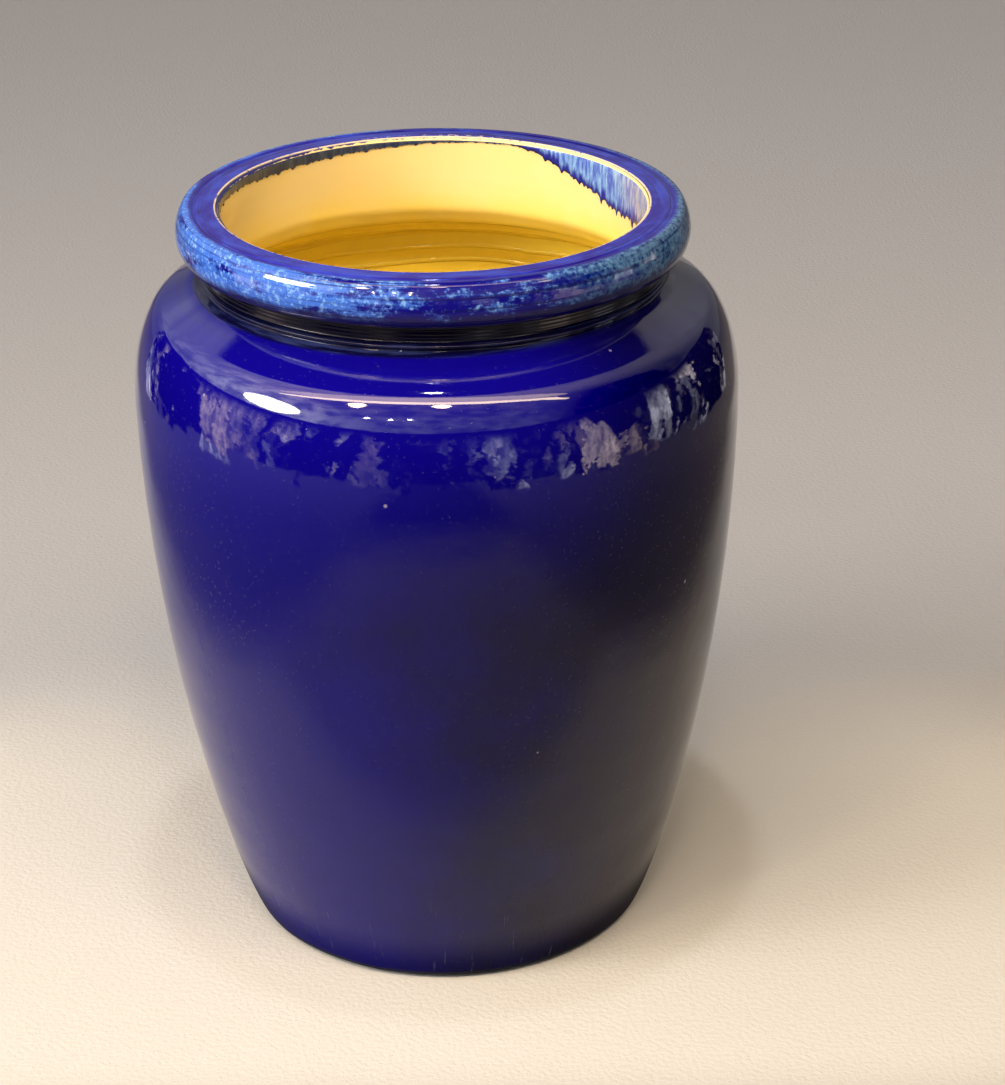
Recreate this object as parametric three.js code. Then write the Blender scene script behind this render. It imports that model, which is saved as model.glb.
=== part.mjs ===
// Stoneware jar: one thrown pot of fired clay with a rolled rim, a glossy blue glaze outside,
// a cream glaze lining, and a run of the blue that crept over the lip into the mouth.
// Millimetres, +Z up. The origin is the middle of the foot, on the surface the jar stands on.

import * as THREE from 'three';
import { mergeVertices } from 'three/addons/utils/BufferGeometryUtils.js';

const degrees = THREE.MathUtils.degToRad;

// Overall form
const jarHeight = 203.2;
const footRadius = 55.1;
const bellyRadius = 80.1;
const mouthRadius = 55.4;
const wall = 6.4;
const floorHeight = 9.5;

// Rim: a roll that overhangs the neck, with a flat top and one turned groove in it
const neckWall = 4.9;
const rollOverhang = 6.6;
const rollHeight = 11.9;
const rollFaceRadius = 9.4;
const rollLean = degrees(34.6);
const rollCrownRound = 1.6;
const rollFootRound = 3.5;
const undercut = 1.6;
const grooveInset = 1.3;
const grooveWidth = 1.4;
const grooveDepth = 0.5;
const lipRound = 1.4;

// Neck: a short upright wall with one raised cordon at its foot
const neckHeight = 7.9;
const cordonRise = 1.4;
const cordonHeight = 1.9;
const cordonSeat = 1.3;

// Shoulder: a straight slope out from the neck, a round that turns it over, a curve to the belly
const shoulderLedge = 2.3;
const shoulderDrop = 31.35;
const shoulderTilt = degrees(30);
const shoulderSlope = 0.56;
const shoulderRound = 10.7;
const shoulderTurn = degrees(55.4);
const shoulderFullness = 0.86;
const shoulderRise = 0.2;

// Lower wall: it leaves the foot at a slant and swells in one long curve to the belly
const footSlant = degrees(29);
const footHandle = 11.4;
const bellyFullness = 0.486;

// Foot: a turned ring round a shallow hollow, left without glaze
const footRingWidth = 8;
const footHollow = 2.6;
const footHollowSlant = 2.4;
const footEdge = 1.9;
const bareFoot = 1.4;

// Inside: a rounded corner between floor and wall, and one where the shoulder meets the neck
const floorCornerReach = 21;
const floorCornerHeight = 24;
const throatHeight = 18.5;
const cornerFullness = 0.65;

// Glazes
const glazeThickness = 0.5;
const coatGap = 0.3;
const lipMeeting = degrees(118);

// Run of blue inside the mouth, deepest on the jar's right
const runTop = 1.9;
const runDepth = 3.0;
const runLobeDepth = 9.3;
const runLobeAngle = degrees(17);
const runLobeSpread = degrees(29);
const runRipple = 0.5;
const runTaper = 0.3;

// Smoothness of the turned forms
const turnSteps = 40;
const runSteps = 80;
const wallSteps = 8;
const shoulderSteps = 4;
const roundSteps = 2;
const rollSteps = 3;
const lipSteps = 2;
const cornerSteps = 3;

// Sizes that follow from the ones above
const neckRadius = mouthRadius + neckWall;
const rollRadius = neckRadius + rollOverhang;
const rollFoot = jarHeight - rollHeight;
const shoulderRadius = neckRadius + shoulderLedge;
const shoulderHeight = rollFoot - neckHeight;
const bellyHeight = shoulderHeight - shoulderDrop;
const clayDepth = glazeThickness + coatGap;

const point = (radius, height) => new THREE.Vector2(radius, height);

// Points along a curve without its first one, so that stretches can be joined end to end
function stretch(curve, steps) {
  return curve.getPoints(steps).slice(1);
}

function bezier(start, leaving, arriving, end, steps) {
  return stretch(new THREE.CubicBezierCurve(start, leaving, arriving, end), steps);
}

function arc(centre, radius, fromAngle, toAngle, steps) {
  const clockwise = toAngle < fromAngle;
  return stretch(
    new THREE.EllipseCurve(centre.x, centre.y, radius, radius, fromAngle, toAngle, clockwise),
    steps,
  );
}

// A line of points moved sideways by a distance, to its left, with its corners kept sharp
function offsetLine(points, distance) {
  return points.map((here, i) => {
    const before = points[Math.max(i - 1, 0)];
    const after = points[Math.min(i + 1, points.length - 1)];
    const arriving = here.clone().sub(i > 0 ? before : after).normalize();
    const leaving = after.clone().sub(i < points.length - 1 ? here : before).normalize();
    if (i === 0) arriving.copy(leaving);
    if (i === points.length - 1) leaving.copy(arriving);
    const along = arriving.clone().add(leaving).normalize();
    const reach = distance / along.dot(leaving);
    return point(here.x - along.y * reach, here.y + along.x * reach);
  });
}

// Lower wall, from the foot up to the belly
function lowerWall() {
  const foot = point(footRadius, 0);
  const belly = point(bellyRadius, bellyHeight);
  const leaving = point(
    footRadius + footHandle * Math.sin(footSlant),
    footHandle * Math.cos(footSlant),
  );
  const arriving = point(bellyRadius, bellyHeight * (1 - bellyFullness));
  return [foot, ...bezier(foot, leaving, arriving, belly, wallSteps)];
}

// Shoulder, from the belly up its curve, over the round and in along the slope to the neck
function shoulder() {
  const belly = point(bellyRadius, bellyHeight);
  const neckFoot = point(shoulderRadius, shoulderHeight);
  const slope = (belly.x - neckFoot.x) * shoulderSlope;
  const roundCentre = point(
    neckFoot.x + slope * Math.cos(shoulderTilt) - shoulderRound * Math.sin(shoulderTilt),
    neckFoot.y - slope * Math.sin(shoulderTilt) - shoulderRound * Math.cos(shoulderTilt),
  );
  const roundFoot = point(
    roundCentre.x + shoulderRound * Math.sin(shoulderTurn),
    roundCentre.y + shoulderRound * Math.cos(shoulderTurn),
  );
  const across = (belly.x - roundFoot.x) * shoulderFullness;
  const leaving = point(belly.x, belly.y + shoulderDrop * shoulderRise);
  const arriving = point(roundFoot.x + across, roundFoot.y - across * Math.tan(shoulderTurn));
  const upright = Math.PI / 2;
  return [
    ...bezier(belly, leaving, arriving, roundFoot, shoulderSteps),
    ...arc(roundCentre, shoulderRound, upright - shoulderTurn, upright - shoulderTilt, roundSteps),
    neckFoot,
  ];
}

// Neck, from the cordon up to the hollow under the roll
function neck() {
  const cordonFoot = shoulderHeight + cordonSeat;
  const hollow = point(neckRadius + undercut, rollFoot - undercut);
  return [
    point(neckRadius + cordonRise / 2, cordonFoot),
    point(neckRadius + cordonRise, cordonFoot + cordonHeight / 2),
    point(neckRadius, cordonFoot + cordonHeight),
    point(neckRadius, hollow.y),
    ...arc(hollow, undercut, Math.PI, Math.PI / 2, 2),
  ];
}

// Roll of the rim: a full round at its foot, a face leaning in above it, and a tight crown.
// The foot round sits on the roll's underside and meets the face where both have one slope.
function rollFace() {
  const crownCentre = point(0, jarHeight - rollCrownRound);
  const reach = rollFaceRadius - rollCrownRound;
  const faceCentre = point(
    rollRadius - rollFaceRadius,
    crownCentre.y - reach * Math.sin(rollLean),
  );
  crownCentre.x = faceCentre.x + reach * Math.cos(rollLean);
  const footCentre = point(0, rollFoot + rollFootRound);
  const inward = rollFaceRadius - rollFootRound;
  const tuck = Math.asin((footCentre.y - faceCentre.y) / inward);
  footCentre.x = faceCentre.x + inward * Math.cos(tuck);
  return [
    point(footCentre.x, rollFoot),
    ...arc(footCentre, rollFootRound, -Math.PI / 2, tuck, rollSteps),
    ...arc(faceCentre, rollFaceRadius, tuck, rollLean, rollSteps),
    ...arc(crownCentre, rollCrownRound, rollLean, Math.PI / 2, rollSteps - 1),
  ];
}

// Roll with the groove in its flat top
function roll() {
  const face = rollFace();
  const crown = face[face.length - 1];
  const grooveEdge = crown.x - grooveInset;
  return [
    ...face,
    point(grooveEdge, jarHeight),
    point(grooveEdge - grooveWidth / 2, jarHeight - grooveDepth),
    point(grooveEdge - grooveWidth, jarHeight),
  ];
}

// Rounded edge of the mouth between two angles, turning from the flat top to the inside
function lip(fromAngle, toAngle, steps) {
  const centre = point(mouthRadius + lipRound, jarHeight - lipRound);
  return arc(centre, lipRound, fromAngle, toAngle, steps);
}

// Half the angle, on the lip, of the gap between the two glazes that meet there
function halfMeeting() {
  return coatGap / (lipRound - glazeThickness) / 2;
}

// Outside of the jar as seen, from the foot up and over the rim to the lip
function outsideLine() {
  return [
    ...lowerWall(),
    ...shoulder(),
    ...neck(),
    ...roll(),
    point(mouthRadius + lipRound, jarHeight),
    ...lip(Math.PI / 2, lipMeeting - halfMeeting(), 1),
  ];
}

// Inside of the wall, parallel to the outside, from above the floor's corner to the shoulder
function innerWall() {
  const parallel = offsetLine([...lowerWall(), ...shoulder()], wall);
  return parallel.filter((p) => p.y > floorHeight + floorCornerHeight);
}

// Rounded corner between the floor and the inside of the wall
function floorCorner(floorEdge, wallFoot, wallNext) {
  const slope = (wallNext.x - wallFoot.x) / (wallNext.y - wallFoot.y);
  const reach = (wallFoot.y - floorEdge.y) * cornerFullness;
  return bezier(
    floorEdge,
    point(floorEdge.x + reach, floorEdge.y),
    point(wallFoot.x - slope * reach, wallFoot.y - reach),
    wallFoot,
    cornerSteps,
  );
}

// Rounded corner where the inside of the shoulder turns up into the throat
function throatCorner(shoulderEnd, throat) {
  const reach = (shoulderEnd.x - throat.x) * cornerFullness;
  return bezier(
    shoulderEnd,
    point(
      shoulderEnd.x - reach * Math.cos(shoulderTilt),
      shoulderEnd.y + reach * Math.sin(shoulderTilt),
    ),
    point(throat.x, (shoulderEnd.y + throat.y) / 2),
    throat,
    cornerSteps,
  );
}

// Inside of the jar as seen, from the lip down the throat and wall to the middle of the floor
function insideLine() {
  const floorEdge = point(footRadius - floorCornerReach, floorHeight);
  const upright = innerWall();
  const throat = point(mouthRadius, jarHeight - throatHeight);
  const rising = [
    point(0, floorHeight),
    floorEdge,
    ...floorCorner(floorEdge, upright[0], upright[1]),
    ...upright.slice(1),
    ...throatCorner(upright[upright.length - 1], throat),
  ];
  const edge = point(
    mouthRadius + lipRound * (1 + Math.cos(lipMeeting + halfMeeting())),
    jarHeight - lipRound * (1 - Math.sin(lipMeeting + halfMeeting())),
  );
  return [edge, ...lip(lipMeeting + halfMeeting(), Math.PI, lipSteps), ...rising.reverse()];
}

// The whole surface as seen, set back by a depth and cut where the two glazes meet
function setBack(depth) {
  const outside = outsideLine();
  const whole = offsetLine([...outside, ...insideLine()], depth);
  whole[whole.length - 1].x = 0;
  return { outside: whole.slice(0, outside.length), inside: whole.slice(outside.length) };
}

// Clay face under the foot: the ring that the jar stands on and the hollow inside it
function footOutline() {
  const ringInside = footRadius - footEdge - footRingWidth;
  return [
    point(0, footHollow),
    point(ringInside - footHollowSlant, footHollow),
    point(ringInside, 0),
    point(footRadius - footEdge, 0),
  ];
}

// Part of a line above a height, with a point put exactly at that height
function above(line, height) {
  const next = line.findIndex((p) => p.y > height);
  const low = line[next - 1];
  const high = line[next];
  const share = (height - low.y) / (high.y - low.y);
  return [low.clone().lerp(high, share), ...line.slice(next)];
}

// Round body turned about the jar's axis from an outline that is closed or ends on the axis
function turned(name, outline, color, roughness) {
  const material = new THREE.MeshStandardMaterial({ color, roughness, metalness: 0 });
  const mesh = new THREE.Mesh(new THREE.LatheGeometry(outline, turnSteps), material);
  mesh.name = name;
  mesh.rotation.x = Math.PI / 2;
  return mesh;
}

// Fired clay, set back from every glazed surface by the glaze and its gap
function stonewareBody() {
  const clay = setBack(clayDepth);
  return turned(
    'stoneware_body',
    [...footOutline(), ...clay.outside, ...clay.inside],
    0xa89078,
    0.9,
  );
}

// Blue glaze outside, from just above the foot over the rim to the lip
function blueGlazeCoat() {
  const surface = above(setBack(0).outside, bareFoot);
  const back = above(setBack(glazeThickness).outside, bareFoot);
  return turned('blue_glaze_coat', [...surface, ...back.reverse(), surface[0]], 0x1c1468, 0.12);
}

// Cream glaze over the whole inside and up round the edge of the lip
function creamGlazeLining() {
  const surface = setBack(0).inside;
  const back = setBack(glazeThickness).inside;
  return turned('cream_glaze_lining', [...back.reverse(), ...surface], 0xead9a2, 0.2);
}

// How far the run reaches below its top edge at an angle round the mouth
function runDepthAt(angle) {
  const turns = (angle - runLobeAngle) / (2 * Math.PI);
  const away = (turns - Math.round(turns)) * 2 * Math.PI;
  const lobe = Math.exp(-((away / runLobeSpread) ** 2));
  const ripple = Math.sin(5 * angle + 1) + Math.sin(11 * angle) / 2 + Math.sin(19 * angle + 2) / 2;
  return runDepth + runLobeDepth * lobe + runRipple * ripple;
}

// Section of the run at an angle: back, tapered top, face, rounded lower edge
function runSection(angle) {
  const back = mouthRadius - coatGap;
  const face = back - glazeThickness;
  const top = jarHeight - runTop;
  const bottom = top - runDepthAt(angle);
  return [
    point(back, bottom),
    point(back, top),
    point(face, top - runTaper),
    point(face, bottom + runTaper),
  ];
}

// Run of the blue glaze down the inside of the mouth, with an uneven lower edge
function blueMouthRun() {
  const corners = runSection(0).length;
  const positions = [];
  const triangles = [];
  for (let step = 0; step < runSteps; step += 1) {
    const angle = (step / runSteps) * 2 * Math.PI;
    const next = (step + 1) % runSteps;
    runSection(angle).forEach((p, corner) => {
      positions.push(p.x * Math.cos(angle), p.x * Math.sin(angle), p.y);
      const here = step * corners + corner;
      const there = next * corners + corner;
      const hereUp = step * corners + ((corner + 1) % corners);
      const thereUp = next * corners + ((corner + 1) % corners);
      triangles.push(here, there, thereUp, here, thereUp, hereUp);
    });
  }
  const geometry = new THREE.BufferGeometry();
  geometry.setAttribute('position', new THREE.Float32BufferAttribute(positions, 3));
  geometry.setIndex(triangles);
  geometry.computeVertexNormals();
  const pale = new THREE.MeshStandardMaterial({ color: 0x5f86bd, roughness: 0.2, metalness: 0 });
  const mesh = new THREE.Mesh(mergeVertices(geometry), pale);
  mesh.name = 'blue_mouth_run';
  return mesh;
}

const jar = new THREE.Group();
jar.add(stonewareBody(), blueGlazeCoat(), creamGlazeLining(), blueMouthRun());

export default jar;
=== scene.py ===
# %% [markdown]
# # A stoneware jar, thrown, trimmed and dipped
# A potter throws this jar in one piece, rolls its rim outwards over a short neck, turns the foot
# when the clay is leather hard, pours a cream glaze inside and dips the outside in blue. Here each
# of those layers is a piece of its own, drawn as a section and spun on a wheel of geometry nodes.

import math
from types import SimpleNamespace

import bpy
import numpy as np
from mathutils import Matrix, Vector


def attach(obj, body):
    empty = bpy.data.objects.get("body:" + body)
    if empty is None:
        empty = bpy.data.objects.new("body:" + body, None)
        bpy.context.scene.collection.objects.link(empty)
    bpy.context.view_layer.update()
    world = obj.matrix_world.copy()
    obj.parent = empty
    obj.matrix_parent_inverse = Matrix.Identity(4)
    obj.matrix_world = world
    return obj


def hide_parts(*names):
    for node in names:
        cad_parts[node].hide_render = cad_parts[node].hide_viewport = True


# %% Frame
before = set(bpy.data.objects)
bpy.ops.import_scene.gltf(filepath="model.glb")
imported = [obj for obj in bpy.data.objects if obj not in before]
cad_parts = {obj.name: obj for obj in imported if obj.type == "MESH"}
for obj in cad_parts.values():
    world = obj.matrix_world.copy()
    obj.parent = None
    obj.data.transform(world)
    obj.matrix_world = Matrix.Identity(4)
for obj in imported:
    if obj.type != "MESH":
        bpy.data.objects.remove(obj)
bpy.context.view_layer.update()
MM = 0.001
print("solids in the frame:", sorted(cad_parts))

# %% [markdown]
# ## Camera
# The jar is seen from a little above, so that both the mouth and the whole front show. The lens is
# long for the distance, the camera looks down by about 25 degrees and is turned by less than one.

# %% Camera
PICTURE = (1005, 1085)
FOCAL_PIXELS = 2823.0
LOOK_DOWN = math.radians(25.2)
CAMERA_TURN = math.radians(0.88)
CAMERA_PLACE = Vector((0.0167, -0.700, 0.434))


def camera_matrix():
    right = Vector((1, 0, 0))
    up = Vector((0, math.sin(LOOK_DOWN), math.cos(LOOK_DOWN)))
    turned_right = right * math.cos(CAMERA_TURN) - up * math.sin(CAMERA_TURN)
    turned_up = up * math.cos(CAMERA_TURN) + right * math.sin(CAMERA_TURN)
    back = turned_right.cross(turned_up)
    matrix = Matrix((turned_right, turned_up, back)).transposed().to_4x4()
    matrix.translation = CAMERA_PLACE
    return matrix


camera_data = bpy.data.cameras.new("camera")
camera_data.sensor_width = 36
camera_data.lens = FOCAL_PIXELS * camera_data.sensor_width / PICTURE[1]
camera = bpy.data.objects.new("camera", camera_data)
camera.matrix_world = camera_matrix()
bpy.context.scene.collection.objects.link(camera)
bpy.context.scene.camera = camera
print(f"lens {camera_data.lens:.1f} mm")

# %% [markdown]
# ## A short way to write node trees
# Materials and geometry trees here are mostly arithmetic on numbers that change over a surface, so
# one small class lets Python's own signs add the Math nodes, and one method adds any other node.


# %% Nodes
def clear(color):
    """A colour with its opacity added."""
    return (*color, 1.0)


class Number:
    """A number in a node tree. Python's signs on it add Math nodes."""

    def __init__(self, board, socket):
        self.board = board
        self.socket = socket

    def __add__(self, other):
        return self.board.math("ADD", self, other)

    def __radd__(self, other):
        return self.board.math("ADD", other, self)

    def __sub__(self, other):
        return self.board.math("SUBTRACT", self, other)

    def __rsub__(self, other):
        return self.board.math("SUBTRACT", other, self)

    def __mul__(self, other):
        return self.board.math("MULTIPLY", self, other)

    def __rmul__(self, other):
        return self.board.math("MULTIPLY", other, self)

    def __truediv__(self, other):
        return self.board.math("DIVIDE", self, other)

    def __rtruediv__(self, other):
        return self.board.math("DIVIDE", other, self)

    def __pow__(self, other):
        return self.board.math("POWER", self, other)

    def __rpow__(self, other):
        return self.board.math("POWER", other, self)

    def sine(self):
        return self.board.math("SINE", self)

    def cosine(self):
        return self.board.math("COSINE", self)

    def floor(self):
        return self.board.math("FLOOR", self)

    def between(self, low, high):
        """0 below low, 1 above high, smooth between them."""
        settings = {"interpolation_type": "SMOOTHSTEP"}
        inputs = {"Value": self, "From Min": low, "From Max": high}
        return self.board.node("ShaderNodeMapRange", settings, inputs, "Result")


class Board:
    """A node tree with one method that adds any node."""

    def __init__(self, tree):
        self.tree = tree

    def node(self, kind, settings=None, inputs=None, output=0):
        made = self.tree.nodes.new(kind)
        for name, value in (settings or {}).items():
            setattr(made, name, value)
        for name, value in (inputs or {}).items():
            self.connect(made.inputs[name], value)
        return Number(self, made.outputs[output]) if made.outputs else None

    def connect(self, socket, value):
        if isinstance(value, Number):
            self.tree.links.new(value.socket, socket)
        else:
            socket.default_value = value

    def math(self, operation, *values):
        return self.node("ShaderNodeMath", {"operation": operation}, dict(enumerate(values)))

    def vector(self, x, y, z):
        return self.node("ShaderNodeCombineXYZ", None, {0: x, 1: y, 2: z})

    def split(self, vector):
        x = self.node("ShaderNodeSeparateXYZ", None, {0: vector}, "X")
        outputs = x.socket.node.outputs
        return x, Number(self, outputs["Y"]), Number(self, outputs["Z"])

    def blend(self, mask, first, second):
        """One colour where the mask is 0 and the other where it is 1."""
        first, second = (
            clear(color) if isinstance(color, tuple) else color for color in (first, second)
        )
        # A Mix node's two colours are its inputs 6 and 7, and the mixed one is its output 2.
        inputs = {"Factor": mask, 6: first, 7: second}
        return self.node("ShaderNodeMix", {"data_type": "RGBA"}, inputs, 2)


# %% [markdown]
# ## The section of the jar
# Everything turned on a wheel is one section seen from the side. The sizes are those of the solids:
# a slanted lower wall that swells to the belly, a shoulder that runs straight out from the neck and
# turns over in a tight round, a short neck with one raised cordon, and a rolled rim with a flat top
# and one groove.

# %% Sizes in millimetres
JAR_HEIGHT = 203.2
FOOT_RADIUS = 55.1
BELLY_RADIUS = 80.1
MOUTH_RADIUS = 55.4
WALL = 6.4
FLOOR_HEIGHT = 9.5

NECK_RADIUS = 60.3
ROLL_RADIUS = 66.9
ROLL_FOOT = 191.3
ROLL_FACE_ROUND = 9.4
ROLL_LEAN = math.radians(34.6)
ROLL_CROWN_ROUND = 1.6
ROLL_FOOT_ROUND = 3.5
UNDERCUT = 1.6
GROOVE_EDGE = 62.6
GROOVE_WIDTH = 1.4
GROOVE_DEPTH = 0.42
LIP_ROUND = 1.4

CORDON_HEIGHT = 185.65
CORDON_RISE = 1.35
CORDON_WIDTH = 0.72
CORDON_SQUARENESS = 2.4
CREASE_DEPTH = 0.9
CREASE_WIDTH = 0.55
NECK_START = 0.35

SHOULDER_RADIUS = 62.6
SHOULDER_HEIGHT = 183.4
SHOULDER_TILT = math.radians(30)
SHOULDER_SLOPE = 9.8
SHOULDER_ROUND = 10.7
SHOULDER_TURN = math.radians(55.4)
SHOULDER_FULLNESS = 0.86
BELLY_HEIGHT = 152.05
BELLY_HANDLE = 0.514
BELLY_RISE = 6.3
FOOT_SLANT = math.radians(29)
FOOT_HANDLE = 11.4

FLOOR_FLAT = 34.1
CORNER_TOP = 34
CORNER_FULLNESS = 0.65
THROAT_HEIGHT = 184.7

GLAZE = 0.5
COAT_GAP = 0.3
LIP_MEETING = math.radians(118)


# %% Curves
def bezier(start, leaving, arriving, end, steps):
    """Points of a curve between two ends, without the first one."""
    t = np.linspace(0, 1, steps + 1)[1:, None]
    start, leaving, arriving, end = map(np.asarray, (start, leaving, arriving, end))
    early = start * (1 - t) ** 3 + 3 * leaving * t * (1 - t) ** 2
    return early + 3 * arriving * t**2 * (1 - t) + end * t**3


def arc(centre, radius, start, end, steps):
    angle = np.linspace(start, end, steps + 1)[1:]
    return np.column_stack([centre[0] + radius * np.cos(angle), centre[1] + radius * np.sin(angle)])


def line(start, end, steps):
    share = np.linspace(0, 1, steps + 1)[1:, None]
    return np.asarray(start) * (1 - share) + np.asarray(end) * share


def sideways(points, distance):
    """A line of points moved to its left, with its corners kept sharp."""
    run = np.diff(points, axis=0)
    run /= np.linalg.norm(run, axis=1)[:, None]
    arriving = np.vstack([run[:1], run])
    leaving = np.vstack([run, run[-1:]])
    along = arriving + leaving
    along /= np.linalg.norm(along, axis=1)[:, None]
    reach = distance / np.sum(along * leaving, axis=1)
    return points + np.column_stack([-along[:, 1] * reach, along[:, 0] * reach])


# %% Section
def lower_wall(steps):
    foot = (FOOT_RADIUS, 0)
    leaving = (
        FOOT_RADIUS + FOOT_HANDLE * math.sin(FOOT_SLANT),
        FOOT_HANDLE * math.cos(FOOT_SLANT),
    )
    arriving = (BELLY_RADIUS, BELLY_HEIGHT * BELLY_HANDLE)
    return bezier(foot, leaving, arriving, (BELLY_RADIUS, BELLY_HEIGHT), steps)


def shoulder(steps):
    """Up the curve from the belly, over the round, and in along the slope to the neck."""
    out, down = math.cos(SHOULDER_TILT), math.sin(SHOULDER_TILT)
    slope_end = (SHOULDER_RADIUS + SHOULDER_SLOPE * out, SHOULDER_HEIGHT - SHOULDER_SLOPE * down)
    centre = (slope_end[0] - SHOULDER_ROUND * down, slope_end[1] - SHOULDER_ROUND * out)
    low = math.pi / 2 - SHOULDER_TURN
    foot = arc(centre, SHOULDER_ROUND, low, low, 1)[0]
    across = (BELLY_RADIUS - foot[0]) * SHOULDER_FULLNESS
    return np.vstack([
        bezier(
            (BELLY_RADIUS, BELLY_HEIGHT),
            (BELLY_RADIUS, BELLY_HEIGHT + BELLY_RISE),
            (foot[0] + across, foot[1] - across * math.tan(SHOULDER_TURN)),
            foot,
            steps,
        ),
        arc(centre, SHOULDER_ROUND, low, math.pi / 2 - SHOULDER_TILT, steps // 2),
        line(slope_end, (SHOULDER_RADIUS, SHOULDER_HEIGHT), steps // 2),
    ])


def neck(fine, cordon_rise):
    """From the crease over the shoulder, over the cordon and up to the hollow under the roll."""
    height = np.linspace(SHOULDER_HEIGHT + NECK_START, ROLL_FOOT - UNDERCUT, 14 * fine)
    from_cordon = np.abs(height - CORDON_HEIGHT) / CORDON_WIDTH
    cordon = cordon_rise * np.exp(-(from_cordon**CORDON_SQUARENESS))
    crease = CREASE_DEPTH * np.exp(-(((height - SHOULDER_HEIGHT) / CREASE_WIDTH) ** 2))
    upright = np.column_stack([NECK_RADIUS + cordon + crease, height])
    hollow = (NECK_RADIUS + UNDERCUT, ROLL_FOOT - UNDERCUT)
    return np.vstack([upright, arc(hollow, UNDERCUT, math.pi, math.pi / 2, 2 * fine)])


def roll(fine):
    """From the roll's underside, round its foot, up its face and over its crown."""
    reach = ROLL_FACE_ROUND - ROLL_CROWN_ROUND
    crown_height = JAR_HEIGHT - ROLL_CROWN_ROUND
    face = (ROLL_RADIUS - ROLL_FACE_ROUND, crown_height - reach * math.sin(ROLL_LEAN))
    crown = (face[0] + reach * math.cos(ROLL_LEAN), crown_height)
    inward = ROLL_FACE_ROUND - ROLL_FOOT_ROUND
    tuck = math.asin((ROLL_FOOT + ROLL_FOOT_ROUND - face[1]) / inward)
    foot = (face[0] + inward * math.cos(tuck), ROLL_FOOT + ROLL_FOOT_ROUND)
    return np.vstack([
        arc(foot, ROLL_FOOT_ROUND, -math.pi / 2, tuck, 5 * fine),
        arc(face, ROLL_FACE_ROUND, tuck, ROLL_LEAN, 12 * fine),
        arc(crown, ROLL_CROWN_ROUND, ROLL_LEAN, math.pi / 2, 2 * fine),
    ])


def flat_top(start, fine):
    """The rim's top, with its groove as a soft dip."""
    radius = np.linspace(start, MOUTH_RADIUS + LIP_ROUND, 9 * fine + 1)[1:]
    place = np.clip((GROOVE_EDGE - radius) / GROOVE_WIDTH, 0, 1)
    return np.column_stack([radius, JAR_HEIGHT - GROOVE_DEPTH * np.sin(math.pi * place) ** 2])


def lip(start, end, steps):
    centre = (MOUTH_RADIUS + LIP_ROUND, JAR_HEIGHT - LIP_ROUND)
    return arc(centre, LIP_ROUND, start, end, steps)


def outside(fine, cordon_rise=CORDON_RISE):
    """The jar as seen from outside, from the foot over the rim to where the glazes meet."""
    rolled = roll(fine)
    return np.vstack([
        [(FOOT_RADIUS, 0)],
        lower_wall(12 * fine),
        shoulder(6 * fine),
        neck(fine, cordon_rise),
        rolled,
        flat_top(rolled[-1, 0], fine),
        lip(math.pi / 2, LIP_MEETING - 0.02, fine),
    ])


def inside(fine):
    """The jar as seen from inside, from the lip down to the middle of the floor."""
    upright = np.vstack([[(FOOT_RADIUS, 0)], lower_wall(45 * fine), shoulder(10 * fine)])
    upright = sideways(upright, WALL)
    upright = upright[upright[:, 1] > CORNER_TOP]
    slope = (upright[1, 0] - upright[0, 0]) / (upright[1, 1] - upright[0, 1])
    edge = (FLOOR_FLAT, FLOOR_HEIGHT)
    reach = (upright[0, 1] - FLOOR_HEIGHT) * CORNER_FULLNESS
    last = upright[-1]
    tuck = (last[0] - MOUTH_RADIUS) * CORNER_FULLNESS
    corner = bezier(
        edge,
        (edge[0] + reach, edge[1]),
        (upright[0, 0] - slope * reach, upright[0, 1] - reach),
        upright[0],
        8 * fine,
    )
    throat = bezier(
        last,
        (last[0] - tuck * math.cos(SHOULDER_TILT), last[1] + tuck * math.sin(SHOULDER_TILT)),
        (MOUTH_RADIUS, (last[1] + THROAT_HEIGHT) / 2),
        (MOUTH_RADIUS, THROAT_HEIGHT),
        5 * fine,
    )
    rising = np.vstack([
        [(0, FLOOR_HEIGHT)],
        line((0, FLOOR_HEIGHT), edge, 10 * fine),
        corner,
        upright[1:],
        throat,
        line((MOUTH_RADIUS, THROAT_HEIGHT), (MOUTH_RADIUS, JAR_HEIGHT - LIP_ROUND), 6 * fine),
    ])
    edge_of_lip = lip(LIP_MEETING, math.pi, 3 * fine)
    return np.vstack([edge_of_lip, rising[::-1][1:]])


profile = np.vstack([outside(4), inside(2)])
reach, top = profile.max(axis=0)
print(f"section: {len(profile)} points, {reach:.1f} mm from the axis at most, {top:.1f} mm tall")

# %% [markdown]
# ## What the hand leaves
# A thrown pot is never quite round or level. One small tree moves any mesh by the same slow errors:
# out of round by a fraction of a millimetre, its top leaning a little. Every piece goes through it,
# so the thin glazes stay on their clay.

# %% Hand errors
HAND_INPUTS = (
    ("Out of round", "NodeSocketFloat", 0.2 * MM),
    ("Side lean", "NodeSocketFloat", 0.0095),
    ("Back lean", "NodeSocketFloat", 0.005),
    ("Edge waver", "NodeSocketFloat", 0.0),
    ("Seed", "NodeSocketFloat", 4.0),
)
# Each error sets in between these heights or radii, in metres.
OVAL_ABOVE = (0.004, 0.05)
OVAL_OUTSIDE = (0.0, 0.03)
LEAN_ABOVE = (0.13, 0.18)
WAVER_BELOW = (0.0025, 0.005)


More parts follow.
